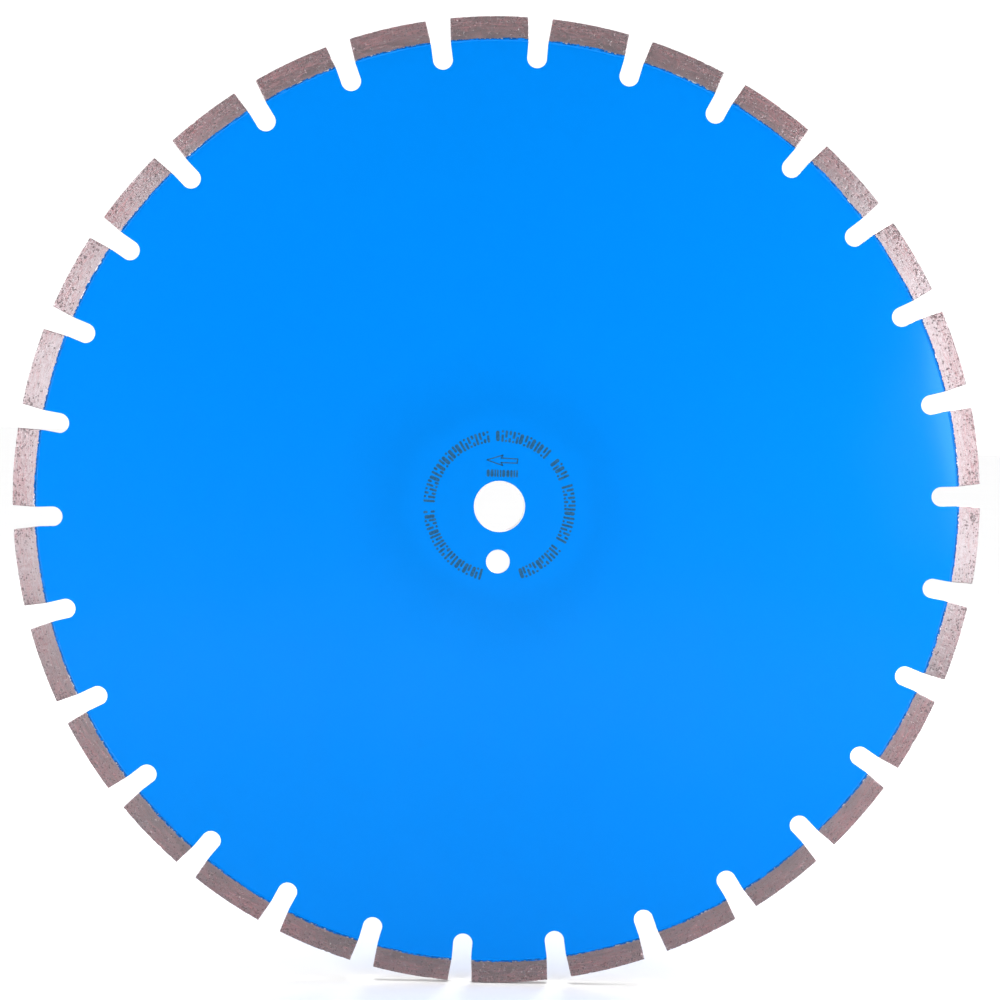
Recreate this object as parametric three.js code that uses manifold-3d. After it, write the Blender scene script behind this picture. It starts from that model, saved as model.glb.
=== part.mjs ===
// Segmented diamond saw blade for floor saws that cut asphalt and concrete.
//
// A flat spring-steel core carries thirty sintered diamond segments, one brazed on each of the
// thirty lands between its gullets. The arbor passes through the central bore, and one drive pin
// passes through the small hole below it.
//
// Units are millimetres, +Z is up. The blade stands upright and spins about the Y axis. The origin
// is the centre of the bore, half way through the core. The marked face looks towards -Y, and the
// drive-pin hole is straight below the bore.

import * as THREE from "three";
import { mergeVertices } from "three/addons/utils/BufferGeometryUtils.js";
import Module from "manifold-3d";

// ---- driving dimensions ------------------------------------------------------------------------

const BLADE_DIAMETER = 504; // over the segments
const SEGMENT_COUNT = 30;
const SEGMENT_LENGTH = 40; // chord between the two parallel ends
const SEGMENT_HEIGHT = 12; // radial, foot to rim
const SEGMENT_WIDTH = 3.8; // kerf width
const CORE_THICKNESS = 2.8;
const BRAZE_GAP = 0.15; // room for the filler between the land and the segment's foot

const BORE_DIAMETER = 25.4;
const BORE_CHAMFER = 0.45;
const PIN_HOLE_DIAMETER = 12;
const PIN_HOLE_CHAMFER = 0.2;
const PIN_HOLE_OFFSET = 28.8; // bore centre to pin-hole centre

const GULLET_WIDTH = 10.2; // parallel sides, full round bottom
const GULLET_BOTTOM_RADIUS = 226.6; // from the axis to the bottom of the gullet
const FIRST_GULLET_DEG = 2.86; // from +X, turning towards +Z

// ---- how finely the round shapes are cut --------------------------------------------------------

const LAND_STEPS = 12;
const GULLET_STEPS = 16;
const SEGMENT_STEPS = 14;
const BORE_STEPS = 96;
const PIN_HOLE_STEPS = 64;

// ---- sizes that follow from them ----------------------------------------------------------------

const RIM_RADIUS = BLADE_DIAMETER / 2;
const LAND_RADIUS = RIM_RADIUS - SEGMENT_HEIGHT;
const FOOT_RADIUS = LAND_RADIUS + BRAZE_GAP;
const PITCH = (2 * Math.PI) / SEGMENT_COUNT;
const FIRST_GULLET = THREE.MathUtils.degToRad(FIRST_GULLET_DEG);

const wasm = await Module();
wasm.setup();

// A closed three.js geometry as a solid, ready to be cut or joined.
function solidFrom(geometry) {
  const bare = geometry.clone();
  for (const name of Object.keys(bare.attributes))
    if (name !== "position") bare.deleteAttribute(name);
  const merged = mergeVertices(bare, 1e-4);
  const corners = merged.index.array;
  const kept = [];
  for (let i = 0; i < corners.length; i += 3) {
    const [a, b, c] = [corners[i], corners[i + 1], corners[i + 2]];
    if (a !== b && b !== c && c !== a) kept.push(a, b, c);
  }
  return new wasm.Manifold(
    new wasm.Mesh({
      numProp: 3,
      vertProperties: Float32Array.from(merged.attributes.position.array),
      triVerts: Uint32Array.from(kept),
    }),
  );
}

function geometryFrom(solid) {
  const mesh = solid.getMesh();
  const geometry = new THREE.BufferGeometry();
  geometry.setAttribute(
    "position",
    new THREE.BufferAttribute(Float32Array.from(mesh.vertProperties), 3),
  );
  geometry.setIndex(
    new THREE.BufferAttribute(Uint32Array.from(mesh.triVerts), 1),
  );
  const flat = geometry.toNonIndexed();
  flat.computeVertexNormals();
  return flat;
}

// A plate of the given outline, centred on its own mid-plane.
function plate(points, thickness) {
  const geometry = new THREE.ExtrudeGeometry(new THREE.Shape(points), {
    depth: thickness,
    bevelEnabled: false,
    steps: 1,
  });
  geometry.translate(0, 0, -thickness / 2);
  return geometry;
}

// ---- the steel core -----------------------------------------------------------------------------

// One gullet and the land after it, turning anticlockwise.
function coreOutline() {
  const points = [];
  const half = GULLET_WIDTH / 2;
  const bottomCentre = GULLET_BOTTOM_RADIUS + half;
  const mouth = Math.asin(half / LAND_RADIUS);
  for (let k = 0; k < SEGMENT_COUNT; k++) {
    const at = FIRST_GULLET + k * PITCH;
    const out = new THREE.Vector2(Math.cos(at), Math.sin(at));
    const side = new THREE.Vector2(-Math.sin(at), Math.cos(at));
    // The gullet's round bottom, from its clockwise side to its anticlockwise side.
    for (let i = 0; i <= GULLET_STEPS; i++) {
      const turn = (i / GULLET_STEPS) * Math.PI;
      points.push(
        out
          .clone()
          .multiplyScalar(bottomCentre - half * Math.sin(turn))
          .addScaledVector(side, -half * Math.cos(turn)),
      );
    }
    // The land that carries a segment.
    const from = at + mouth;
    const to = at + PITCH - mouth;
    for (let i = 0; i <= LAND_STEPS; i++) {
      const a = from + (i / LAND_STEPS) * (to - from);
      points.push(
        new THREE.Vector2(LAND_RADIUS * Math.cos(a), LAND_RADIUS * Math.sin(a)),
      );
    }
  }
  return points;
}

// A cutter for a through hole with a chamfer at both faces, along Z.
function holeCutter(diameter, chamfer, x, y, steps) {
  const r = diameter / 2;
  const face = CORE_THICKNESS / 2;
  const over = 1; // how far it stands out of each face
  const profile = [
    new THREE.Vector2(0, -face - over),
    new THREE.Vector2(r + chamfer + over, -face - over),
    new THREE.Vector2(r, -face + chamfer),
    new THREE.Vector2(r, face - chamfer),
    new THREE.Vector2(r + chamfer + over, face + over),
    new THREE.Vector2(0, face + over),
  ];
  const geometry = new THREE.LatheGeometry(profile, steps);
  geometry.rotateX(Math.PI / 2);
  geometry.translate(x, y, 0);
  return solidFrom(geometry);
}

function steelCore() {
  const blank = solidFrom(plate(coreOutline(), CORE_THICKNESS));
  const bored = blank.subtract(
    holeCutter(BORE_DIAMETER, BORE_CHAMFER, 0, 0, BORE_STEPS),
  );
  const drilled = bored.subtract(
    holeCutter(
      PIN_HOLE_DIAMETER,
      PIN_HOLE_CHAMFER,
      0,
      -PIN_HOLE_OFFSET,
      PIN_HOLE_STEPS,
    ),
  );
  return geometryFrom(drilled);
}

// ---- a diamond segment --------------------------------------------------------------------------

// Curved foot and rim, straight parallel ends. Its middle lies on the local +Y axis.
function segmentOutline() {
  const half = SEGMENT_LENGTH / 2;
  const points = [];
  const foot = Math.asin(half / FOOT_RADIUS);
  const rim = Math.asin(half / RIM_RADIUS);
  for (let i = 0; i <= SEGMENT_STEPS; i++) {
    const a = rim - (i / SEGMENT_STEPS) * 2 * rim;
    points.push(
      new THREE.Vector2(RIM_RADIUS * Math.sin(a), RIM_RADIUS * Math.cos(a)),
    );
  }
  for (let i = 0; i <= SEGMENT_STEPS; i++) {
    const a = -foot + (i / SEGMENT_STEPS) * 2 * foot;
    points.push(
      new THREE.Vector2(FOOT_RADIUS * Math.sin(a), FOOT_RADIUS * Math.cos(a)),
    );
  }
  return points;
}

// ---- materials ----------------------------------------------------------------------------------

const blueEnamel = new THREE.MeshStandardMaterial({
  color: 0x008cfa,
  roughness: 0.35,
  metalness: 0,
});
const sinteredMetal = new THREE.MeshStandardMaterial({
  color: 0xa28b8f,
  roughness: 0.5,
  metalness: 0.85,
});

// ---- assembly -----------------------------------------------------------------------------------

const blade = new THREE.Group();
blade.name = "diamond_blade";
blade.rotation.x = Math.PI / 2; // stands the drawing plane upright: its +Y becomes +Z

const core = new THREE.Mesh(steelCore(), blueEnamel);
core.name = "steel_core";
blade.add(core);

const segmentShape = plate(segmentOutline(), SEGMENT_WIDTH);
for (let k = 0; k < SEGMENT_COUNT; k++) {
  const segment = new THREE.Mesh(segmentShape, sinteredMetal);
  segment.name = `diamond_segment_${String(k + 1).padStart(2, "0")}`;
  segment.rotation.z = FIRST_GULLET + (k + 0.5) * PITCH - Math.PI / 2;
  blade.add(segment);
}

export default blade;
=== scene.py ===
import math

import bmesh
import bpy
import numpy as np
from mathutils import Matrix, Vector
from mathutils.geometry import delaunay_2d_cdt


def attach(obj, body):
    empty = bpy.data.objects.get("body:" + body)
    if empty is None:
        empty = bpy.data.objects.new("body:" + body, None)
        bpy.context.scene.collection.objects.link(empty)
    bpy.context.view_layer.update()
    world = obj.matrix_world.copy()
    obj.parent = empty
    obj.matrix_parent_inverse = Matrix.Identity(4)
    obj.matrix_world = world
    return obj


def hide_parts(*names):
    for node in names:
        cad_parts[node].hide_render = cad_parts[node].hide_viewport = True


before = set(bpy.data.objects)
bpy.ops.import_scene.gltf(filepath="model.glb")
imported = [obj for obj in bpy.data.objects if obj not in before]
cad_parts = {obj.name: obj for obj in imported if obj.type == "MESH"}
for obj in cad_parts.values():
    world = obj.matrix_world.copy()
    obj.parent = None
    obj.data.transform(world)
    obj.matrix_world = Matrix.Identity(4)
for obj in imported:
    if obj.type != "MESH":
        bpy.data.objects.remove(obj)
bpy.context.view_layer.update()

MM = 0.001

# ---- the blade's sizes, in millimetres, as in the CAD ---------------------------------------------
RIM_R = 252.0
LAND_R = 240.0
FOOT_R = 240.15
SEG_HALF = 20.0
SEG_T = 1.9  # half of the kerf width
CORE_T = 1.4  # half of the core
COUNT = 30
PITCH = 2 * math.pi / COUNT
FIRST = math.radians(2.86)
GULLET_HALF = 5.1
GULLET_R = 226.6
BORE_R = 12.7
PIN_R = 6.0
PIN_AT = (0.0, -28.8)


# ---- small tools ----------------------------------------------------------------------------------
def smooth01(x):
    x = np.clip(x, 0.0, 1.0)
    return x * x * (3 - 2 * x)


class Noise:
    """Gradient noise on a hashed lattice, vectorised, about -1 to 1."""

    def __init__(self, seed):
        rng = np.random.default_rng(seed)
        self.perm = np.concatenate([rng.permutation(256)] * 3).astype(np.int64)
        g = rng.normal(size=(256, 3))
        self.grad = g / np.linalg.norm(g, axis=1)[:, None]

    def __call__(self, p):
        p = np.asarray(p, dtype=np.float64)
        cell = np.floor(p).astype(np.int64)
        f = p - cell
        cell &= 255
        w = f * f * f * (f * (f * 6 - 15) + 10)
        out = np.zeros(len(p))
        for dx in (0, 1):
            for dy in (0, 1):
                for dz in (0, 1):
                    h = self.perm[
                        self.perm[self.perm[cell[:, 0] + dx] + cell[:, 1] + dy]
                        + cell[:, 2]
                        + dz
                    ]
                    d = f - np.array([dx, dy, dz])
                    dot = (self.grad[h % 256] * d).sum(1)
                    wx = w[:, 0] if dx else 1 - w[:, 0]
                    wy = w[:, 1] if dy else 1 - w[:, 1]
                    wz = w[:, 2] if dz else 1 - w[:, 2]
                    out += wx * wy * wz * dot
        return out * 1.6

    def line(self, x, at=0.0):
        x = np.asarray(x, dtype=np.float64)
        return self(np.stack([x, np.full_like(x, at + 0.37), np.full_like(x, 0.71)], -1))


def put_mesh(name, verts_mm, faces, smooth=True):
    mesh = bpy.data.meshes.new(name)
    mesh.from_pydata((np.asarray(verts_mm) * MM).tolist(), [], [list(map(int, f)) for f in faces])
    mesh.validate()
    if smooth:
        mesh.polygons.foreach_set("use_smooth", [True] * len(mesh.polygons))
    mesh.update()
    ob = bpy.data.objects.new(name, mesh)
    bpy.context.scene.collection.objects.link(ob)
    return ob


def stand(x, y2, h):
    """A point of the drawing plane (x right, y2 up) at height h towards the back, in the frame."""
    return np.stack([x, h, y2], -1)


# ---- node building --------------------------------------------------------------------------------
class Tree:
    def __init__(self, name):
        self.mat = bpy.data.materials.new(name)
        self.mat.use_nodes = True
        self.nt = self.mat.node_tree
        self.nt.nodes.clear()
        self.out = self.nt.nodes.new("ShaderNodeOutputMaterial")
        self.bsdf = self.nt.nodes.new("ShaderNodeBsdfPrincipled")
        self.nt.links.new(self.bsdf.outputs[0], self.out.inputs[0])
        self.count = 0

    def new(self, kind, **attrs):
        n = self.nt.nodes.new(kind)
        self.count += 1
        n.location = (-260 * (1 + self.count // 8), -180 * (self.count % 8))
        for k, v in attrs.items():
            setattr(n, k, v)
        return n

    def feed(self, socket, value):
        if isinstance(value, bpy.types.NodeSocket):
            self.nt.links.new(value, socket)
        else:
            socket.default_value = value

    def math(self, op, a, b=None, c=None, clamp=False):
        n = self.new("ShaderNodeMath", operation=op, use_clamp=clamp)
        self.feed(n.inputs[0], a)
        if b is not None:
            self.feed(n.inputs[1], b)
        if c is not None:
            self.feed(n.inputs[2], c)
        return n.outputs[0]

    def vmath(self, op, a, b=None, scale=None):
        n = self.new("ShaderNodeVectorMath", operation=op)
        self.feed(n.inputs[0], a)
        if b is not None:
            self.feed(n.inputs[1], b)
        if scale is not None:
            self.feed(n.inputs["Scale"], scale)
        return n.outputs["Value"] if op in ("LENGTH", "DOT_PRODUCT", "DISTANCE") else n.outputs[0]

    def step(self, x, lo, hi, out_lo=0.0, out_hi=1.0, kind="SMOOTHSTEP"):
        n = self.new("ShaderNodeMapRange", interpolation_type=kind)
        self.feed(n.inputs["Value"], x)
        for k, v in (("From Min", lo), ("From Max", hi), ("To Min", out_lo), ("To Max", out_hi)):
            self.feed(n.inputs[k], v)
        return n.outputs["Result"]

    def mix(self, fac, a, b, blend="MIX"):
        n = self.new("ShaderNodeMix", data_type="RGBA", blend_type=blend)
        self.feed(n.inputs[0], fac)
        for socket, v in ((n.inputs[6], a), (n.inputs[7], b)):
            if isinstance(v, (tuple, list)):
                v = tuple(v) + (1.0,) if len(v) == 3 else tuple(v)
            self.feed(socket, v)
        return n.outputs[2]

    def mixf(self, fac, a, b):
        n = self.new("ShaderNodeMix", data_type="FLOAT")
        self.feed(n.inputs[0], fac)
        self.feed(n.inputs[2], a)
        self.feed(n.inputs[3], b)
        return n.outputs[0]

    def noise(self, vec, scale, detail=2.0, rough=0.5, distort=0.0):
        n = self.new("ShaderNodeTexNoise")
        self.feed(n.inputs["Vector"], vec)
        self.feed(n.inputs["Scale"], scale)
        self.feed(n.inputs["Detail"], detail)
        self.feed(n.inputs["Roughness"], rough)
        self.feed(n.inputs["Distortion"], distort)
        return n.outputs["Fac"]

    def cells(self, vec, scale, feature="F1", dimensions="3D"):
        n = self.new("ShaderNodeTexVoronoi", feature=feature, voronoi_dimensions=dimensions)
        self.feed(n.inputs["Vector"], vec)
        self.feed(n.inputs["Scale"], scale)
        return n

    def attr(self, name):
        return self.new("ShaderNodeAttribute", attribute_name=name).outputs["Fac"]

    def bump(self, height, distance, strength=1.0, normal=None):
        n = self.new("ShaderNodeBump")
        self.feed(n.inputs["Strength"], strength)
        self.feed(n.inputs["Distance"], distance)
        self.feed(n.inputs["Height"], height)
        if normal is not None:
            self.feed(n.inputs["Normal"], normal)
        return n.outputs[0]

    def coords(self):
        return self.new("ShaderNodeTexCoord").outputs["Object"]

    def radius(self, vec):
        """Distance from the blade's axis."""
        flat = self.vmath("MULTIPLY", vec, (1.0, 0.0, 1.0))
        return self.vmath("LENGTH", flat)

    def set(self, **values):
        for k, v in values.items():
            self.feed(self.bsdf.inputs[k.replace("_", " ")], v)


# ---- blue enamel ----------------------------------------------------------------------------------
BLUE = (0.0, 0.201, 0.728)


def enamel_colour(t, p):
    """The enamel's colour: nearly even, with cloudy coat thickness, and painted shade of the camera: a darker ring
    round the bore, a little darker still inside it."""
    r = t.radius(p)
    cloud = t.noise(p, 7.0, 3.0, 0.55)
    fine = t.noise(p, 95.0, 3.0, 0.6)
    wob = t.math("MULTIPLY_ADD", t.noise(p, 16.0, 2.0, 0.5), 0.024, -0.012)
    rr = t.math("ADD", r, wob)
    # painted shade: the camera's darkening of the enamel, as a ring round the bore
    ring = t.math("MULTIPLY", t.step(rr, 0.042, 0.054), t.step(rr, 0.078, 0.054, 0.30, 1.0))
    ring = t.math("MULTIPLY", ring, t.step(rr, 0.088, 0.076))
    # painted shade: the middle of the camera's darkening, inside the ring
    camera_shade_middle = t.step(rr, 0.056, 0.042)
    shade = t.math("MULTIPLY_ADD", cloud, 0.05, 0.975)
    shade = t.math("MULTIPLY_ADD", fine, 0.016, t.math("SUBTRACT", shade, 0.008))
    shade = t.math("SUBTRACT", shade, t.math("MULTIPLY", ring, 0.070))
    shade = t.math("SUBTRACT", shade, t.math("MULTIPLY", camera_shade_middle, 0.030))
    n = t.new("ShaderNodeCombineColor")
    t.feed(n.inputs[0], 0.0)
    t.feed(n.inputs[1], t.math("MULTIPLY", shade, BLUE[1]))
    t.feed(n.inputs[2], t.math("MULTIPLY", shade, BLUE[2]))
    return n.outputs[0], r


def make_enamel():
    t = Tree("blue_enamel")
    p = t.coords()
    colour, r = enamel_colour(t, p)
    # dust nibs under the coat
    nib = t.cells(p, 62.0)
    sep = t.new("ShaderNodeSeparateColor")
    t.nt.links.new(nib.outputs["Color"], sep.inputs[0])
    chosen = t.math("GREATER_THAN", sep.outputs[0], 0.93)
    nibs = t.math("MULTIPLY", chosen, t.step(nib.outputs["Distance"], 0.030, 0.0))
    colour = t.mix(t.math("MULTIPLY", nibs, 0.45), colour, (0.10, 0.42, 0.86))
    # cut walls of the gullets: thinner coat over the striations of the laser cut
    normal = t.new("ShaderNodeNewGeometry").outputs["Normal"]
    ny = t.vmath("DOT_PRODUCT", normal, (0.0, 1.0, 0.0))
    wall = t.step(t.math("ABSOLUTE", ny), 0.75, 0.35)
    stri = t.noise(t.vmath("MULTIPLY", p, (3600.0, 160.0, 3600.0)), 1.0, 3.0, 0.6)
    colour = t.mix(t.math("MULTIPLY", wall, t.step(stri, 0.56, 0.80, 0.0, 0.55)), colour, (0.16, 0.24, 0.36))
    t.set(Base_Color=colour)
    peel = t.noise(p, 620.0, 2.0, 0.5)
    rough = t.math("MULTIPLY_ADD", t.noise(p, 34.0, 4.0, 0.6), 0.05, 0.065)
    rough = t.math("MULTIPLY_ADD", wall, 0.32, rough)
    t.set(Roughness=rough, Metallic=0.0)
    t.bsdf.inputs["Specular IOR Level"].default_value = 0.50
    t.bsdf.inputs["Specular Tint"].default_value = (0.48, 1.0, 1.0, 1.0)
    b = t.bump(peel, 0.000004)
    b = t.bump(nibs, 0.00003, normal=b)
    b = t.bump(t.math("MULTIPLY", stri, wall), 0.00006, normal=b)
    t.set(Normal=b)
    return t.mat


def make_seam():
    """Enamel over the brazed seam, rubbed through to bright metal along its crest and its edge."""
    t = Tree("enamel_over_seam")
    p = t.coords()
    colour, r = enamel_colour(t, p)
    edge = t.attr("edge")  # 0 at the core, 1 at the ragged edge on the segment
    grain = t.noise(p, 1500.0, 4.0, 0.65)
    patch = t.noise(p, 230.0, 3.0, 0.6)
    # painted shade: a thin darker line in the root of the step, partly a thicker run of enamel there; and navy scabs
    # along the ragged edge
    flake = t.noise(p, 620.0, 3.0, 0.6)
    root_shade_and_run = t.math("MULTIPLY", t.step(edge, 0.44, 0.58), t.step(patch, 0.34, 0.50, 0.20, 1.0))
    root_shade_and_run = t.math("MULTIPLY", root_shade_and_run, t.step(flake, 0.36, 0.52, 0.45, 1.0))
    scab = t.math("MULTIPLY", t.step(edge, 0.50, 0.64), t.step(flake, 0.56, 0.60))
    root_shade_and_scabs = t.math("MAXIMUM", root_shade_and_run, t.math("MULTIPLY", scab, 0.8))
    # painted shade of the step's root, together with the scabs, mixed in as navy
    colour = t.mix(t.math("MULTIPLY", root_shade_and_scabs, 0.9), colour, (0.0, 0.050, 0.215))
    worn = t.math("ADD", t.math("MULTIPLY", patch, 0.50), t.math("MULTIPLY", flake, 0.55))
    crest = t.math("MULTIPLY", t.step(edge, 0.62, 0.80), t.step(edge, 1.0, 0.93))
    bare = t.step(t.math("MULTIPLY_ADD", crest, 0.08, worn), 0.632, 0.668)
    bare = t.math("MULTIPLY", bare, t.step(edge, 0.56, 0.66))
    colour = t.mix(bare, colour, (0.76, 0.76, 0.80))
    t.set(Base_Color=colour, Metallic=t.math("MULTIPLY", bare, 0.75))
    t.set(Roughness=t.mixf(bare, 0.20, 0.42))
    t.bsdf.inputs["Specular IOR Level"].default_value = 0.50
    t.bsdf.inputs["Specular Tint"].default_value = (0.48, 1.0, 1.0, 1.0)
    b = t.bump(grain, 0.00003)
    b = t.bump(bare, -0.00002, normal=b)
    t.set(Normal=b)
    return t.mat


# ---- bare steel of the bore -----------------------------------------------------------------------
def make_bare_steel():
    t = Tree("bare_machined_steel")
    p = t.coords()
    turned = t.noise(t.vmath("MULTIPLY", p, (60.0, 5200.0, 60.0)), 1.0, 3.0, 0.6)
    stain = t.noise(p, 160.0, 4.0, 0.6)
    colour = t.mix(t.step(stain, 0.45, 0.75, 0.0, 0.35), (0.86, 0.86, 0.87), (0.60, 0.56, 0.53))
    colour = t.mix(t.math("MULTIPLY", turned, 0.35), colour, (0.93, 0.93, 0.94))
    t.set(Base_Color=colour, Metallic=0.25, Roughness=t.step(turned, 0.3, 0.7, 0.30, 0.48))
    t.set(Normal=t.bump(turned, 0.00002))
    return t.mat


# ---- sintered segments ----------------------------------------------------------------------------
def make_segment():
    t = Tree("sintered_diamond_metal")
    p = t.coords()
    uv = t.new("ShaderNodeUVMap", uv_map="grain").outputs[0]  # x along the grinding marks, mm
    pit = t.attr("pit")
    foot = t.attr("foot")  # 1 in the diamond-free foot, 0 in the cutting layer
    r = t.radius(p)

    streak = t.noise(t.vmath("MULTIPLY", uv, (0.16, 3.6, 1.0)), 1.0, 4.0, 0.62)
    mottle = t.noise(p, 520.0, 4.0, 0.66)
    grain = t.noise(p, 5200.0, 2.0, 0.7)
    broad = t.noise(p, 22.0, 2.0, 0.5)

    # share of bare ground metal against the dull brown matrix between the grains
    bright = t.math("MULTIPLY_ADD", grain, 1.0, t.math("MULTIPLY_ADD", mottle, 0.30, 0.08))
    bright = t.math("MULTIPLY_ADD", streak, 0.44, bright)
    bright = t.math("MULTIPLY_ADD", broad, 0.20, bright)
    band = t.noise(t.vmath("MULTIPLY", uv, (0.10, 1.15, 1.0)), 1.0, 3.0, 0.60)
    bright = t.math("MULTIPLY_ADD", t.math("SUBTRACT", band, 0.5), -0.20, t.math("ADD", bright, 0.02))
    bright = t.math("ADD", bright, t.step(r, 0.2480, 0.2430, -0.01, 0.03))
    metal = t.step(bright, 0.94, 1.13, kind="LINEAR")
    smooth_foot = t.math("MULTIPLY", foot, t.step(mottle, 0.30, 0.55, 0.55, 1.0))
    metal = t.mixf(t.math("MULTIPLY", smooth_foot, 0.32), metal, 0.86)

    matrix = t.mix(t.step(streak, 0.35, 0.65), (0.185, 0.026, 0.035), (0.305, 0.064, 0.079))
    matrix = t.mix(t.step(band, 0.44, 0.62), matrix, (0.42, 0.145, 0.162))
    ground = t.mix(smooth_foot, (0.67, 0.612, 0.642), (0.665, 0.600, 0.645))
    colour = t.mix(metal, matrix, ground)

    # painted shade inside the open pores, thicker where the attribute says so, and inside the pits and chips
    stir = t.new("ShaderNodeTexNoise")
    t.nt.links.new(p, stir.inputs["Vector"])
    stir.inputs["Scale"].default_value = 1900.0
    stir.inputs["Detail"].default_value = 1.0
    stirred = t.vmath("ADD", uv, t.vmath("SCALE", stir.outputs["Color"], scale=0.7))
    speck = t.cells(stirred, 1.15, dimensions="2D")
    sep = t.new("ShaderNodeSeparateColor")
    t.nt.links.new(speck.outputs["Color"], sep.inputs[0])
    keep = t.math("GREATER_THAN", sep.outputs[0], t.step(t.attr("pore"), 0.0, 1.0, 0.985, 0.70, kind="LINEAR"))
    size = t.step(sep.outputs[1], 0.0, 1.0, 0.34, 0.64, kind="LINEAR")
    ragged = t.math("MULTIPLY_ADD", grain, 0.16, t.math("SUBTRACT", speck.outputs["Distance"], 0.08))
    pores = t.math("MULTIPLY", keep, t.step(t.math("SUBTRACT", ragged, size), 0.07, -0.03))
    pores = t.math("MULTIPLY", pores, t.step(foot, 0.9, 0.2))
    # painted shade: the pores and the geometric pits and chips made nearly black
    pit_and_pore_shade = t.math("MAXIMUM", t.math("MULTIPLY", pores, 0.95), t.step(pit, 0.35, 0.95, 0.0, 0.65))
    colour = t.mix(t.math("MULTIPLY", pit_and_pore_shade, 0.80), colour, (0.080, 0.050, 0.056))

    # exposed grit
    grit = t.cells(stirred, 0.80, dimensions="2D")
    sep2 = t.new("ShaderNodeSeparateColor")
    t.nt.links.new(grit.outputs["Color"], sep2.inputs[0])
    shine = t.math("MULTIPLY", t.math("GREATER_THAN", sep2.outputs[1], 0.975), t.step(grit.outputs["Distance"], 0.21, 0.11))
    shine = t.math("MULTIPLY", shine, t.step(foot, 0.9, 0.2))
    colour = t.mix(t.math("MULTIPLY", shine, 0.85), colour, (0.74, 0.70, 0.67))

    metallic = t.mixf(metal, 0.0, 0.91)
    metallic = t.math("MULTIPLY", metallic, t.math("SUBTRACT", 1.0, t.math("MAXIMUM", t.math("MULTIPLY", pit_and_pore_shade, 0.7), shine)))
    rough = t.mixf(metal, 0.46, 0.36)
    rough = t.math("MULTIPLY_ADD", pit_and_pore_shade, 0.25, rough)
    t.set(Base_Color=colour, Metallic=metallic, Roughness=rough)
    t.bsdf.inputs["IOR"].default_value = 2.2
    t.bsdf.inputs["Anisotropic"].default_value = 0.85
    t.bsdf.inputs["Anisotropic Rotation"].default_value = 0.25
    tang = t.new("ShaderNodeTangent", direction_type="UV_MAP", uv_map="grain")
    t.nt.links.new(tang.outputs[0], t.bsdf.inputs["Tangent"])
    b = t.bump(streak, 0.00002)
    b = t.bump(grain, 0.00001, normal=b)
    b = t.bump(t.math("MULTIPLY", pit_and_pore_shade, -1.0), 0.00008, normal=b)
    b = t.bump(shine, 0.00006, normal=b)
    t.set(Normal=b)
    return t.mat


def make_ink():
    t = Tree("marking_ink")
    p = t.coords()
    n = t.noise(p, 900.0, 3.0, 0.6)
    colour = t.mix(t.step(n, 0.35, 0.7), (0.006, 0.072, 0.165), (0.016, 0.112, 0.245))
    t.set(Base_Color=colour, Roughness=t.step(n, 0.3, 0.7, 0.42, 0.60))
    t.bsdf.inputs["Specular IOR Level"].default_value = 0.2
    t.set(Normal=t.bump(n, 0.00001))
    return t.mat


ENAMEL = make_enamel()
SEAM = make_seam()
STEEL = make_bare_steel()
METAL = make_segment()
INK = make_ink()


# ---- the core -------------------------------------------------------------------------------------
def gullet_outline():
    """Outer edge of the core, anticlockwise, with 2-D outward normals."""
    pts = []
    corner = 0.35  # radius that the grinder leaves on the corners of a land
    centre = GULLET_R + GULLET_HALF
    for k in range(COUNT):
        a = FIRST + k * PITCH
        out = np.array([math.cos(a), math.sin(a)])
        side = np.array([-math.sin(a), math.cos(a)])
        top = math.sqrt(LAND_R**2 - (GULLET_HALF + corner) ** 2)
        # clockwise side of the gullet, going in
        for s in np.linspace(top - corner, centre, 9)[:-1]:
            pts.append(out * s - side * GULLET_HALF)
        for turn in np.linspace(0, math.pi, 49):
            pts.append(out * (centre - GULLET_HALF * math.sin(turn)) - side * GULLET_HALF * math.cos(turn))
        for s in np.linspace(centre, top - corner, 9)[1:]:
            pts.append(out * s + side * GULLET_HALF)
        # corner, land, corner
        c = out * (top - corner) + side * (GULLET_HALF + corner)
        for turn in np.linspace(math.pi, math.pi / 2, 6)[1:]:
            d = side * math.cos(turn) + out * math.sin(turn)
            pts.append(c + d * corner)
        lo = a + math.asin((GULLET_HALF + corner) / LAND_R)
        hi = a + PITCH - math.asin((GULLET_HALF + corner) / LAND_R)
        for b in np.linspace(lo, hi, 41)[1:-1]:
            pts.append(LAND_R * np.array([math.cos(b), math.sin(b)]))
        a2 = a + PITCH
        out2 = np.array([math.cos(a2), math.sin(a2)])
        side2 = np.array([-math.sin(a2), math.cos(a2)])
        c = out2 * (top - corner) - side2 * (GULLET_HALF + corner)
        for turn in np.linspace(math.pi / 2, 0, 6)[:-1]:
            d = side2 * math.cos(turn) + out2 * math.sin(turn)
            pts.append(c + d * corner)
    pts = np.array(pts)
    keep = np.linalg.norm(pts - np.roll(pts, 1, 0), axis=1) > 1e-3
    pts = pts[keep]
    ahead = np.roll(pts, -1, 0) - pts
    behind = pts - np.roll(pts, 1, 0)
    ahead /= np.linalg.norm(ahead, axis=1)[:, None]
    behind /= np.linalg.norm(behind, axis=1)[:, None]
    tangent = ahead + behind
    tangent /= np.linalg.norm(tangent, axis=1)[:, None]
    normal = np.stack([tangent[:, 1], -tangent[:, 0]], -1)
    return pts, normal


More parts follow.
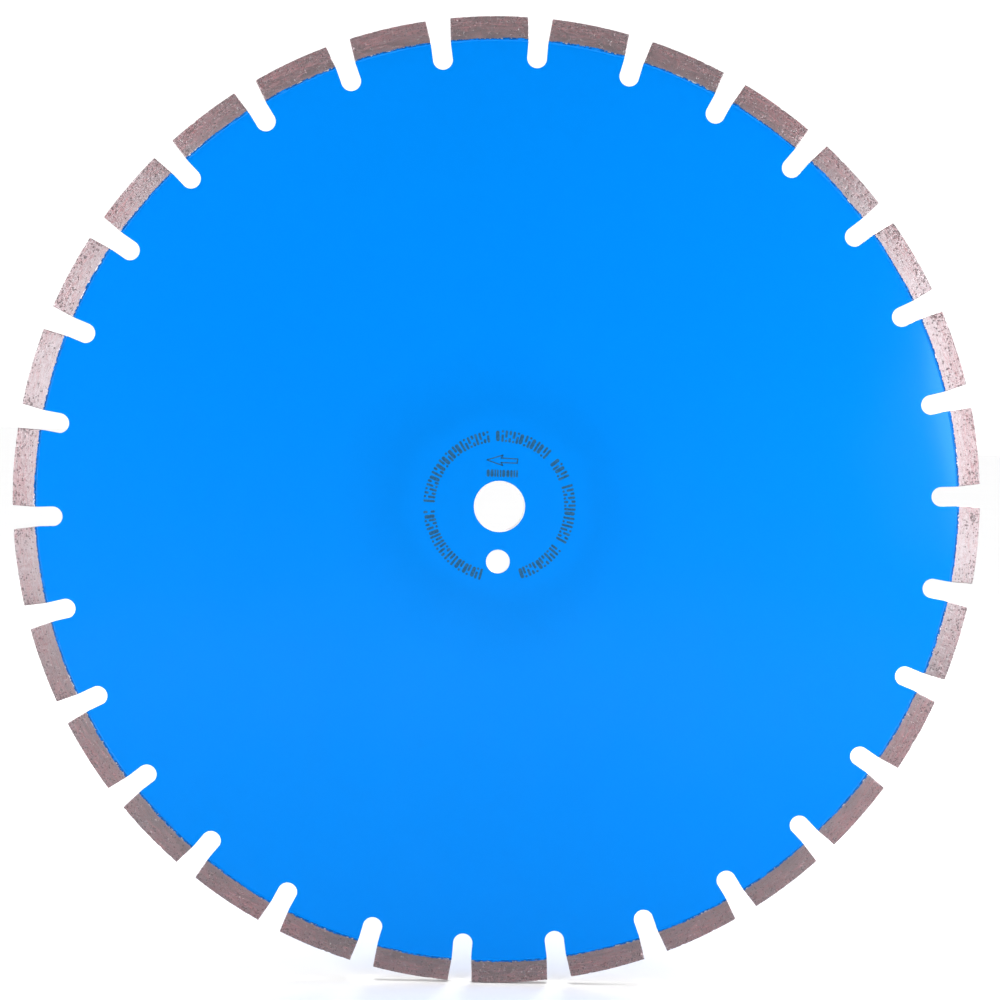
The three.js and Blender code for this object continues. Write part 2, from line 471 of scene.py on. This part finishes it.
def make_core():
    bm = bmesh.new()

    def ring(xy, h):
        return [bm.verts.new(Vector((x * MM, h * MM, z * MM))) for x, z in xy]

    def bridge(a, b, mat, smooth=True):
        n = len(a)
        for i in range(n):
            f = bm.faces.new((a[i], a[(i + 1) % n], b[(i + 1) % n], b[i]))
            f.smooth = smooth
            f.material_index = mat

    def wall(xy, nrm, profile, mat_of):
        """profile: (outward offset, height) from the front face to the back face."""
        rings = [ring(xy + nrm * off, h) for off, h in profile]
        for i in range(len(rings) - 1):
            bridge(rings[i], rings[i + 1], mat_of(i))
        return rings

    e = 0.16
    arc = [(-e * (1 - math.sin(t)), e * (1 - math.cos(t))) for t in np.linspace(0, math.pi / 2, 5)]
    front = [(o, -CORE_T + d) for o, d in arc]
    back = [(o, -h) for o, h in reversed(front)]
    mid = [(0.0, h) for h in np.linspace(-CORE_T + e, CORE_T - e, 5)[1:-1]]
    xy, nrm = gullet_outline()
    outer = wall(xy, nrm, front + mid + back, lambda i: 0)

    def circle(r, n, at=(0.0, 0.0)):
        t = -np.linspace(0, 2 * math.pi, n, endpoint=False)  # clockwise: material is outside
        d = np.stack([np.cos(t), np.sin(t)], -1)
        return np.array(at) + r * d, -d

    c = 0.55
    bore_profile = [(-(c + 0.10), -CORE_T), (-(c + 0.02), -CORE_T + 0.02), (-c + 0.03, -CORE_T + 0.06)]
    bore_profile += [(-0.05, -CORE_T + c - 0.06), (-0.01, -CORE_T + c), (0.0, -CORE_T + c + 0.06)]
    bore_profile += [(0.0, h) for h in (-0.45, 0.0)]
    bore_profile += [(o, -h) for o, h in reversed(bore_profile[:-1])]
    bxy, bn = circle(BORE_R, 240)
    bore = wall(bxy, bn, bore_profile, lambda i: 1)
    c2 = 0.20
    pin_profile = [(-(c2 + 0.10), -CORE_T), (-c2, -CORE_T + 0.03), (-0.04, -CORE_T + c2), (0.0, -CORE_T + c2 + 0.06), (0.0, 0.0)]
    pin_profile += [(o, -h) for o, h in reversed(pin_profile[:-1])]
    pxy, pn = circle(PIN_R, 120, PIN_AT)
    pin = wall(pxy, pn, pin_profile, lambda i: 1 if 1 <= i <= 6 else 0)

    # the flat faces: a constrained triangulation through evenly spread inner points
    loops = [xy + nrm * front[0][0], bxy + bn * bore_profile[0][0], pxy + pn * pin_profile[0][0]]
    inner = []
    rng = np.random.default_rng(5)
    for i, r in enumerate(np.concatenate([np.arange(15.5, 36, 2.5), np.arange(39, 226, 6.5)])):
        n = int(max(24, round(2 * math.pi * r / (2.6 if r < 37 else 6.8))))
        t = np.linspace(0, 2 * math.pi, n, endpoint=False) + (i % 2) * math.pi / n
        q = np.stack([r * np.cos(t), r * np.sin(t)], -1)
        q = q[np.linalg.norm(q - np.array(PIN_AT), axis=1) > PIN_R + 1.4]
        inner.append(q)
    for k in range(COUNT):
        for r, span in ((229.5, 4.0), (234.5, 4.2)):
            t = FIRST + (k + 0.5) * PITCH + np.radians(np.linspace(-span, span, 8))
            inner.append(np.stack([r * np.cos(t), r * np.sin(t)], -1))
    inner = np.concatenate(inner)
    pts = np.concatenate(loops + [inner])
    edges = []
    start = 0
    for loop in loops:
        n = len(loop)
        edges += [(start + i, start + (i + 1) % n) for i in range(n)]
        start += n
    vs, _, fs, *_ = delaunay_2d_cdt([Vector(p) for p in pts], edges, [], 0, 1e-7)
    vs = np.array([tuple(v) for v in vs])
    tri = [f for f in fs]
    mids = np.array([vs[list(f)].mean(0) for f in tri])
    # each hole's loop is a regular polygon, so a triangle inside it has its middle inside its circle
    hole = (np.linalg.norm(mids, axis=1) < BORE_R + c + 0.10 - 1e-6) | (
        np.linalg.norm(mids - np.array(PIN_AT), axis=1) < PIN_R + c2 + 0.10 - 1e-6
    )
    # outside the outline: in a gullet
    ang = (np.arctan2(mids[:, 1], mids[:, 0]) - FIRST) / PITCH
    near = FIRST + np.round(ang) * PITCH
    along = mids[:, 0] * np.cos(near) + mids[:, 1] * np.sin(near)
    across = -mids[:, 0] * np.sin(near) + mids[:, 1] * np.cos(near)
    centre = GULLET_R + GULLET_HALF
    half = GULLET_HALF + e - 1e-5
    slot = ((along > centre) & (np.abs(across) < half)) | (np.hypot(along - centre, across) < half)
    good = ~(hole | slot)
    for h in (-CORE_T, CORE_T):
        cap = [bm.verts.new(Vector((x * MM, h * MM, z * MM))) for x, z in vs]
        for f, ok in zip(tri, good):
            if not ok:
                continue
            a, b, c_ = vs[f[0]], vs[f[1]], vs[f[2]]
            ccw = (b[0] - a[0]) * (c_[1] - a[1]) - (b[1] - a[1]) * (c_[0] - a[0]) > 0
            idx = list(f)
            # seen from the front (-Y) with +X right and +Z up, anticlockwise faces the viewer
            if ccw == (h > 0):
                idx.reverse()
            face = bm.faces.new([cap[i] for i in idx])
            face.smooth = False
            face.material_index = 0
    bmesh.ops.remove_doubles(bm, verts=bm.verts, dist=2e-6)
    loose = [v for v in bm.verts if not v.link_faces]
    bmesh.ops.delete(bm, geom=loose, context="VERTS")
    bmesh.ops.recalc_face_normals(bm, faces=bm.faces)
    open_edges = sum(1 for ed in bm.edges if len(ed.link_faces) != 2)
    print("core: faces", len(bm.faces), "open edges", open_edges)
    mesh = bpy.data.meshes.new("core_disc")
    bm.to_mesh(mesh)
    bm.free()
    ob = bpy.data.objects.new("core_disc", mesh)
    bpy.context.scene.collection.objects.link(ob)
    mesh.materials.append(ENAMEL)
    mesh.materials.append(STEEL)
    return ob


# ---- the segments ---------------------------------------------------------------------------------
def grid_lines(half, radius, spacing):
    inner = half - radius
    n = max(2, int(round(2 * inner / spacing)))
    core = np.linspace(-inner, inner, n + 1)
    edge = np.array([half, half - 0.30 * radius, half - 0.68 * radius])
    return np.concatenate([-edge, core, edge[::-1]])


def box_grid(lines):
    """Surface of a box as a welded grid: points and quads, with the axis each quad faces."""
    index = {}
    pts = []

    def vid(i, j, k):
        key = (i, j, k)
        if key not in index:
            index[key] = len(pts)
            pts.append((lines[0][i], lines[1][j], lines[2][k]))
        return index[key]

    n = [len(v) - 1 for v in lines]
    quads = []
    for axis in range(3):
        a, b = [x for x in range(3) if x != axis]
        for side in (0, n[axis]):
            for i in range(n[a]):
                for j in range(n[b]):
                    c = []
                    for di, dj in ((0, 0), (1, 0), (1, 1), (0, 1)):
                        key = [0, 0, 0]
                        key[axis] = side
                        key[a] = i + di
                        key[b] = j + dj
                        c.append(vid(*key))
                    flip = (side == 0) ^ (axis == 1)
                    quads.append((c[::-1] if flip else c, axis))
    return np.array(pts), quads


SEG_HEIGHT = RIM_R - FOOT_R
SEG_LINES = (
    grid_lines(SEG_HALF, 0.28, 0.44),
    grid_lines(SEG_T, 0.28, 0.48),
    grid_lines(SEG_HEIGHT / 2, 0.28, 0.44),
)
SEG_PTS, SEG_QUADS = box_grid(SEG_LINES)


def make_segment_piece(k):
    rng = np.random.default_rng(100 + k)
    noise = Noise(500 + k)
    half = np.array([SEG_HALF, SEG_T, SEG_HEIGHT / 2])
    rad = 0.28
    p = SEG_PTS.copy()
    q = np.clip(p, -half + rad, half - rad)
    d = p - q
    length = np.linalg.norm(d, axis=1)
    n = d / np.maximum(length, 1e-9)[:, None]
    # small irregular rounding: the edges are broken by hand
    p = q + n * rad

    side = np.abs(n[:, 1])  # 1 on the two ground faces
    rim = np.clip(n[:, 2], 0, 1)
    end = np.abs(n[:, 0])
    disp = 0.030 * noise(p * 0.35) + 0.012 * noise(p * 1.3 + 7.0)
    disp += (rim * 0.060 + end * 0.030 + 0.006) * noise(p * 2.4 + 3.0)
    foot = 1.0 - smooth01((p[:, 2] + SEG_HEIGHT / 2 - 1.75 - 0.75 * noise(p * 0.16 + 11.0) - 0.3 * noise(p * 0.7 + 5.0)) / 0.7)

    pit = np.zeros(len(p))
    # pores on the faces, thicker towards the ends and the rim
    for face in (-1, 1):
        m = np.flatnonzero((n[:, 1] * face) > 0.3)
        count = int(rng.integers(120, 190))
        u = rng.uniform(-SEG_HALF, SEG_HALF, count * 2)
        v = rng.uniform(-SEG_HEIGHT / 2 + 1.4, SEG_HEIGHT / 2, count * 2)
        chance = 0.16 + 0.42 * np.abs(u / SEG_HALF) ** 3 + 0.34 * smooth01((v + 1) / 6)
        chance *= 0.55 + 0.9 * smooth01(0.5 + 0.9 * noise(np.stack([u * 0.12, np.full_like(u, face * 9.0), v * 0.2], -1)))
        ok = rng.uniform(size=len(u)) < chance
        u, v = u[ok], v[ok]
        size = rng.uniform(0.26, 0.44, len(u)) * rng.choice([0.85, 1.0, 1.5], len(u), p=[0.55, 0.37, 0.08])
        stretch = rng.uniform(0.9, 1.9, len(u))
        for a, b, s, w in zip(u, v, size, stretch):
            r2 = ((p[m, 0] - a) / w) ** 2 + (p[m, 2] - b) ** 2
            f = np.clip(1.0 - r2 / (s * s), 0.0, 1.0)
            disp[m] -= f * s * 0.22
            pit[m] = np.maximum(pit[m], np.sqrt(f))
    # pores on the rim and the ends
    for axis, sign, count in ((2, 1, 60), (0, 1, 16), (0, -1, 16)):
        m = np.flatnonzero(n[:, axis] * sign > 0.3)
        o = [x for x in range(3) if x != axis]
        a = rng.uniform(-half[o[0]], half[o[0]], count)
        b = rng.uniform(-half[o[1]], half[o[1]], count)
        for x, y, s in zip(a, b, rng.uniform(0.25, 0.6, count)):
            r2 = (p[m, o[0]] - x) ** 2 + (p[m, o[1]] - y) ** 2
            f = np.clip(1.0 - r2 / (s * s), 0.0, 1.0)
            disp[m] -= f * s * 0.25
            pit[m] = np.maximum(pit[m], np.sqrt(f))
    # chips along the outer edges
    chips = int(rng.integers(5, 10))
    for _ in range(chips):
        face = rng.choice([-1, 1])
        u = rng.uniform(-SEG_HALF, SEG_HALF)
        if rng.uniform() < 0.35:
            at = np.array([SEG_HALF * rng.choice([-1, 1]), SEG_T * face, rng.uniform(-2, SEG_HEIGHT / 2)])
        else:
            at = np.array([u, SEG_T * face, SEG_HEIGHT / 2])
        s = rng.uniform(0.4, 1.1)
        r2 = ((p - at) ** 2 * np.array([0.55, 1.0, 1.0])).sum(1)
        f = np.clip(1.0 - r2 / (s * s), 0.0, 1.0)
        disp -= f * s * 0.32
        pit = np.maximum(pit, 0.6 * f)
    p = p + n * disp[:, None]

    # bend the bar to the blade's curve and set it in its place
    frac = (p[:, 2] + SEG_HEIGHT / 2) / SEG_HEIGHT
    lo = np.sqrt(FOOT_R**2 - p[:, 0] ** 2)
    hi = np.sqrt(RIM_R**2 - p[:, 0] ** 2)
    up = lo + frac * (hi - lo)
    a = FIRST + (k + 0.5) * PITCH - math.pi / 2
    x = p[:, 0] * math.cos(a) - up * math.sin(a)
    z = p[:, 0] * math.sin(a) + up * math.cos(a)
    ob = put_mesh(f"segment_{k + 1:02d}", stand(x, z, p[:, 1]), [c for c, _ in SEG_QUADS])
    mesh = ob.data
    # attributes and the direction of the grinding marks
    u, v = p[:, 0], p[:, 2]
    patch = 0.5 + 0.8 * noise(np.stack([u * 0.16, p[:, 1] * 3.0, v * 0.22], -1) + 31.0)
    pore = (0.10 + 0.55 * np.abs(u / SEG_HALF) ** 3 + 0.45 * smooth01((v + 0.5) / 5.5)) * (0.35 + 1.1 * smooth01(patch))
    for name, values in (("pit", pit), ("foot", foot), ("pore", np.clip(pore, 0, 1))):
        at = mesh.attributes.new(name, "FLOAT", "POINT")
        at.data.foreach_set("value", values.astype(np.float32))
    uv = mesh.uv_layers.new(name="grain")
    loops = np.zeros(len(mesh.loops), dtype=np.int64)
    mesh.loops.foreach_get("vertex_index", loops)
    axis_of = np.repeat([ax for _, ax in SEG_QUADS], 4)
    along = p[loops, 0] + 53.0 * k
    across = p[loops, 2] + 17.0 * k
    along = np.where(axis_of == 0, p[loops, 1] + 53.0 * k, along)
    across = np.where(axis_of == 2, p[loops, 1] + 17.0 * k + 40.0, across)
    uv.data.foreach_set("uv", np.stack([along, across], -1).astype(np.float32).ravel())
    mesh.materials.append(METAL)
    return ob


# ---- the brazed seams under their enamel ----------------------------------------------------------
def make_seams(face, name):
    """One bead along each segment's foot, on one face of the blade: a closed strip from the core's
    face over the step onto the segment, with a ragged outer edge."""
    noise = Noise(900 + (face > 0))
    verts, faces, edge = [], [], []
    stations = 150
    for k in range(COUNT):
        a0 = FIRST + (k + 0.5) * PITCH - math.pi / 2
        u = np.linspace(-SEG_HALF + 0.10, SEG_HALF - 0.10, stations)
        s = u + 47.0 * k
        inner = 239.38 + 0.12 * noise.line(s * 0.22) + 0.10 * noise.line(s * 1.1, 3.0)
        level = 0.42 * noise.line(s * 0.055, 5.0)
        outer = 240.98 + level + 0.20 * noise.line(s * 0.42, 8.0) + 0.22 * noise.line(s * 1.5, 12.0) + 0.12 * noise.line(s * 3.3, 15.0)
        lump = 0.045 * noise.line(s * 0.6, 21.0) + 0.02 * noise.line(s * 2.2, 25.0)
        # (radius, height above the mid-plane, share of the way to the edge)
        prof = [
            (inner, 1.385 + 0 * u, 0.0),
            (inner + 0.16, 1.412 + 0 * u, 0.08),
            (239.58 + 0 * u, 1.440 + 0.3 * lump, 0.20),
            (239.82 + 0 * u, 1.535 + 0.8 * lump, 0.32),
            (239.97 + 0 * u, 1.690 + lump, 0.42),
            (240.09 + 0 * u, 1.850 + 0.8 * lump, 0.52),
            (240.24 + 0 * u, 1.950 + 0.5 * lump, 0.60),
            (240.50 + 0 * u, 1.995 + 0.35 * lump, 0.70),
            (0.55 * 240.56 + 0.45 * outer, 1.995 + 0.25 * lump, 0.80),
            (outer - 0.13, 1.965 + 0 * u, 0.92),
            (outer, 1.880 + 0 * u, 1.0),
            (outer - 0.35, 1.80 + 0 * u, 0.9),
            (240.45 + 0 * u, 1.25 + 0 * u, 0.5),
            (inner + 0.35, 1.25 + 0 * u, 0.1),
        ]
        base = len(verts)
        m = len(prof)
        for i in range(stations):
            for r, h, g in prof:
                rr, hh = r[i], h[i]
                up = math.sqrt(rr * rr - u[i] * u[i])
                x = u[i] * math.cos(a0) - up * math.sin(a0)
                z = u[i] * math.sin(a0) + up * math.cos(a0)
                verts.append((x, face * hh, z))
                edge.append(g)
        for i in range(stations - 1):
            for j in range(m):
                q = [base + i * m + j, base + i * m + (j + 1) % m, base + (i + 1) * m + (j + 1) % m, base + (i + 1) * m + j]
                faces.append(q if face < 0 else q[::-1])
        cap0 = [base + j for j in range(m)]
        cap1 = [base + (stations - 1) * m + j for j in range(m)]
        faces.append(cap0[::-1] if face < 0 else cap0)
        faces.append(cap1 if face < 0 else cap1[::-1])
    ob = put_mesh(name, verts, faces)
    bm = bmesh.new()
    bm.from_mesh(ob.data)
    bmesh.ops.recalc_face_normals(bm, faces=bm.faces)
    bm.to_mesh(ob.data)
    bm.free()
    at = ob.data.attributes.new("edge", "FLOAT", "POINT")
    at.data.foreach_set("value", np.array(edge, dtype=np.float32))
    ob.data.materials.append(SEAM)
    return ob


# ---- the marking ----------------------------------------------------------------------------------
def make_marking():
    """A generic marking: a ring of plain strokes round the bore, an outline direction arrow and a
    short row of strokes. It has no letters and no figures."""
    verts, faces = [], []
    lift, thick = CORE_T + 0.004, 0.014

    def slab(loop):
        """A thin plate of the given outline, anticlockwise as seen from the front."""
        base = len(verts)
        n = len(loop)
        for h in (-(lift + thick), -(lift - 0.012)):
            for x, z in loop:
                verts.append((x, h, z))
        faces.append([base + i for i in range(n)])
        faces.append([base + n + i for i in reversed(range(n))])
        for i in range(n):
            j = (i + 1) % n
            faces.append([base + i, base + n + i, base + n + j, base + j])

    def stroke(r0, r1, a, w):
        """A radial stroke with round ends; a is anticlockwise from +X, in radians."""
        d = np.array([math.cos(a), math.sin(a)])
        t = np.array([-d[1], d[0]])
        loop = []
        for c, turn0 in ((r1 - w / 2, -math.pi / 2), (r0 + w / 2, math.pi / 2)):
            for s in np.linspace(turn0, turn0 + math.pi, 7):
                loop.append(d * (c + w / 2 * math.cos(s)) + t * (w / 2 * math.sin(s)))
        slab(loop)

    def line(p, q, w):
        p, q = np.array(p, float), np.array(q, float)
        d = (q - p) / np.linalg.norm(q - p)
        t = np.array([-d[1], d[0]])
        loop = []
        for c, sgn in ((q, 1), (p, -1)):
            for s in np.linspace(-math.pi / 2, math.pi / 2, 5):
                loop.append(c + sgn * (d * (w / 2 * math.cos(s)) + t * (w / 2 * math.sin(s))))
        slab(loop)

    rng = np.random.default_rng(11)
    # groups of strokes, clockwise from just left of the pin hole to just right of it
    groups = [(256, 183), (177, 99), (93, 47), (40, 25), (18, -28), (-35, -72)]
    lo_r, hi_r = 33.7, 39.8
    for hi, lo in groups:
        a = float(hi)
        last = -1
        while a > lo:
            kind = int(rng.choice([0, 0, 1, 2, 3, 3, 4, 4, 1]))
            if kind == last:
                kind = (kind + 1) % 5
            last = kind
            at = math.radians(a)
            if kind == 0:  # one long stroke
                stroke(lo_r, hi_r, at, 1.25)
                a -= 3.3
            elif kind == 1:  # a short one at the outside, a dot at the inside
                stroke(lo_r + 2.2, hi_r, at, 1.25)
                stroke(lo_r, lo_r + 1.3, at, 1.3)
                a -= 3.1
            elif kind == 2:  # two dots
                stroke(hi_r - 2.3, hi_r, at, 1.25)
                stroke(lo_r, lo_r + 2.3, at, 1.25)
                a -= 3.1
            elif kind == 3:  # a short one at the inside, a dot at the outside
                stroke(lo_r, lo_r + 3.9, at, 1.25)
                stroke(hi_r - 1.3, hi_r, at, 1.3)
                a -= 3.1
            else:  # a broad stroke
                stroke(lo_r + 0.3, hi_r - 0.3, at, 1.9)
                a -= 3.9
    # outline arrow
    cx, cz = 0.8, 24.1
    tip = (cx - 8.0, cz)
    outline = [tip, (cx + 0.2, cz + 2.7), (cx - 0.6, cz + 1.15), (cx + 8.0, cz + 0.9), (cx + 7.7, cz - 1.3), (cx - 0.6, cz - 1.15), (cx + 0.2, cz - 2.7)]
    for i in range(len(outline)):
        line(outline[i], outline[(i + 1) % len(outline)], 0.62)
    # short row of strokes below it
    x = -7.2
    while x < 8.4:
        w = float(rng.choice([0.9, 1.25, 1.6]))
        line((x + w / 2, 15.3 + w / 2), (x + w / 2, 19.2 - w / 2), w)
        x += w + float(rng.choice([0.42, 0.55]))
    ob = put_mesh("marking", verts, faces, smooth=False)
    bm = bmesh.new()
    bm.from_mesh(ob.data)
    bmesh.ops.recalc_face_normals(bm, faces=bm.faces)
    bm.to_mesh(ob.data)
    bm.free()
    ob.data.materials.append(INK)
    return ob


core = make_core()
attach(core, "root")
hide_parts("steel_core")

for k in range(COUNT):
    seg = make_segment_piece(k)
    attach(seg, "root")
    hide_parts(f"diamond_segment_{k + 1:02d}")

for face, name in ((-1, "braze_seams_front"), (1, "braze_seams_back")):
    seams = make_seams(face, name)
    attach(seams, "root")

marking = make_marking()
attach(marking, "root")


# ---- floor, light and camera ----------------------------------------------------------------------
def make_floor():
    t = Tree("floor_paper")
    p = t.coords()
    n = t.noise(p, 3.0, 3.0, 0.5)
    t.set(Base_Color=t.mix(n, (0.86, 0.86, 0.865), (0.89, 0.89, 0.89)), Roughness=0.9)
    t.bsdf.inputs["Specular IOR Level"].default_value = 0.1
    me = bpy.data.meshes.new("floor")
    z = -0.2523
    s = 30.0
    me.from_pydata([(-s, -s, z), (s, -s, z), (s, s, z), (-s, s, z)], [], [(0, 1, 2, 3)])
    me.materials.append(t.mat)
    ob = bpy.data.objects.new("floor", me)
    bpy.context.scene.collection.objects.link(ob)
    ob.visible_glossy = False


def softbox(name, at, look, size, power, mirrored=True, lit=True):
    """An oval softbox that lights, reflects, or both, but isn't itself in the picture."""
    d = bpy.data.lights.new(name, "AREA")
    d.shape = "ELLIPSE"
    d.size, d.size_y = size
    d.energy = power
    ob = bpy.data.objects.new(name, d)
    bpy.context.scene.collection.objects.link(ob)
    ob.location = at
    ob.rotation_euler = (Vector(look) - Vector(at)).to_track_quat("-Z", "Y").to_euler()
    ob.visible_camera = False
    ob.visible_glossy = mirrored
    ob.visible_diffuse = lit
    return ob


def make_world():
    w = bpy.data.worlds.new("studio")
    w.use_nodes = True
    nt = w.node_tree
    nt.nodes.clear()
    out = nt.nodes.new("ShaderNodeOutputWorld")
    mix = nt.nodes.new("ShaderNodeMixShader")
    seen = nt.nodes.new("ShaderNodeBackground")
    seen.inputs[0].default_value = (1, 1, 1, 1)
    seen.inputs[1].default_value = 1.15
    fill = nt.nodes.new("ShaderNodeBackground")
    fill.inputs[0].default_value = (1, 1, 1, 1)
    # a dim room over a pale floor that is brighter towards its sides
    way = nt.nodes.new("ShaderNodeSeparateXYZ")
    nt.links.new(nt.nodes.new("ShaderNodeTexCoord").outputs["Generated"], way.inputs[0])

    def ramp(value, lo, hi, out_lo, out_hi):
        n = nt.nodes.new("ShaderNodeMapRange")
        n.interpolation_type = "SMOOTHSTEP"
        nt.links.new(value, n.inputs["Value"])
        for k, v in (("From Min", lo), ("From Max", hi), ("To Min", out_lo), ("To Max", out_hi)):
            n.inputs[k].default_value = v
        return n.outputs["Result"]

    def calc(op, *values):
        n = nt.nodes.new("ShaderNodeMath")
        n.operation = op
        for socket, v in zip(n.inputs, values):
            if isinstance(v, bpy.types.NodeSocket):
                nt.links.new(v, socket)
            else:
                socket.default_value = v
        return n.outputs[0]

    side = ramp(calc("ABSOLUTE", way.outputs[0]), 0.30, 0.85, 0.09, 0.50)
    below = ramp(way.outputs[2], -0.20, 0.08, 1.0, 0.0)
    nt.links.new(calc("MULTIPLY_ADD", side, below, 0.03), fill.inputs[1])
    path = nt.nodes.new("ShaderNodeLightPath")
    nt.links.new(path.outputs["Is Camera Ray"], mix.inputs[0])
    nt.links.new(fill.outputs[0], mix.inputs[1])
    nt.links.new(seen.outputs[0], mix.inputs[2])
    nt.links.new(mix.outputs[0], out.inputs[0])
    bpy.context.scene.world = w


make_floor()
make_world()
sun = bpy.data.lights.new("overhead", "SUN")
sun.energy = 3.6
sun.angle = math.radians(40)
sun_ob = bpy.data.objects.new("overhead", sun)
sun_ob.visible_glossy = False
bpy.context.scene.collection.objects.link(sun_ob)
softbox("softbox_right", (0.843, -0.80, 0.186), (0.843, 0.0, 0.186), (0.77, 0.96), 6.9)
softbox("softbox_left", (-1.00, -0.80, 0.300), (-1.00, 0.0, 0.300), (0.85, 1.34), 12.4)
softbox("softbox_back", (0.6, 1.9, 0.7), (0.0, 0.0, 0.0), (1.2, 1.0), 24)
softbox("card_back", (1.10, 1.25, 0.16), (0.10, 0.0, 0.16), (1.3, 0.75), 9.0, lit=False)
softbox("edge_fill", (0.31, -0.24, 0.04), (0.23, 0.0, 0.03), (0.10, 0.16), 0.16, mirrored=False)
softbox("low_fill", (0.0, -0.65, -0.22), (0.0, 0.0, -0.22), (1.2, 0.2), 1.3, mirrored=False)

AZ, EL, ROLL = (math.radians(v) for v in (-1.2957, 2.7403, 1.6641))
DIST = 0.8074
back = Vector((math.sin(AZ) * math.cos(EL), -math.cos(AZ) * math.cos(EL), math.sin(EL)))
right = Vector((math.cos(AZ), math.sin(AZ), 0.0))
up = back.cross(right)
right2 = math.cos(ROLL) * right + math.sin(ROLL) * up
up2 = -math.sin(ROLL) * right + math.cos(ROLL) * up
cam_data = bpy.data.cameras.new("camera")
cam_data.sensor_width = 36.0
cam_data.lens = 55.687
cam_data.shift_x = -0.0005
cam_data.shift_y = 0.0005
cam_data.clip_start = 0.01
cam_data.clip_end = 100.0
cam = bpy.data.objects.new("camera", cam_data)
bpy.context.scene.collection.objects.link(cam)
place = Vector((0.000475, 0.0, 0.003073)) + back * DIST
cam.matrix_world = Matrix(
    (
        (right2.x, up2.x, back.x, place.x),
        (right2.y, up2.y, back.y, place.y),
        (right2.z, up2.z, back.z, place.z),
        (0, 0, 0, 1),
    )
)
bpy.context.scene.camera = cam
bpy.context.scene.view_settings.view_transform = "Standard"
bpy.context.scene.view_settings.look = "None"
